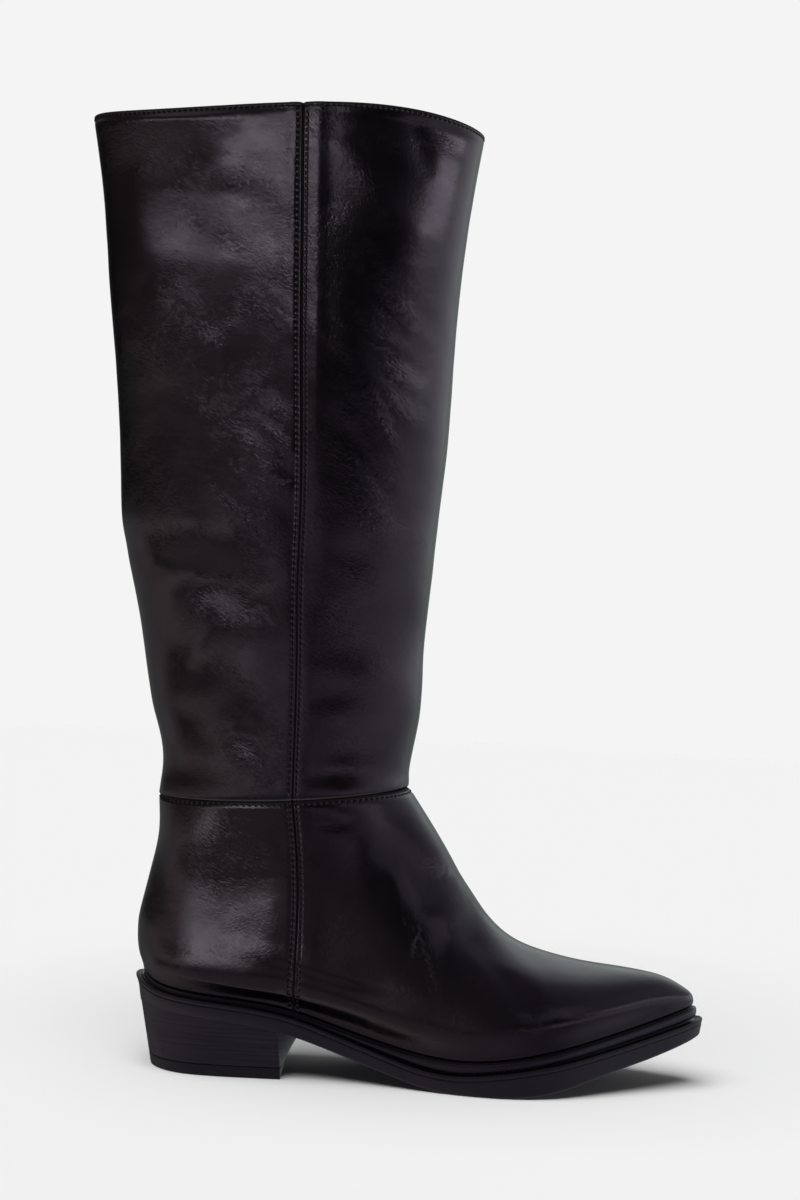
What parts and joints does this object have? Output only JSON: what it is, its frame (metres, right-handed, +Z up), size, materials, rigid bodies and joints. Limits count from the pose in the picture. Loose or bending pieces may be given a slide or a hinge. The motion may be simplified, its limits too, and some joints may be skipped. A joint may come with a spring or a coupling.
{
  "type": "knee-high boot",
  "caption": "Knee-high pull-on boot with an almond toe, a plain leg sewn on at the ankle, a low stacked block heel and a moulded sole with a ledge.",
  "frame": {"origin": "on the floor, under the middle of the boot's box seen from above", "axes": "+X points to the toe, +Z points up the leg, and the outer (lateral) side of this right boot faces -Y"},
  "size_m": [0.3216, 0.097, 0.4658],
  "materials": {
    "black_leather": "smooth black leather-look upper with a soft semi-gloss and a fine wrinkled grain",
    "black_rubber": "matt black moulded sole rubber",
    "stacked_heel": "black block scored with fine stacked lines, satin",
    "sock_lining": "dark matt sock lining"
  },
  "bodies": {
    "root": {"upper": "black_leather", "shaft": "black_leather", "outsole": "black_rubber", "welt": "black_rubber", "insole": "sock_lining", "heel": "stacked_heel", "heel_tip": "black_rubber"}
  },
  "joints": []
}
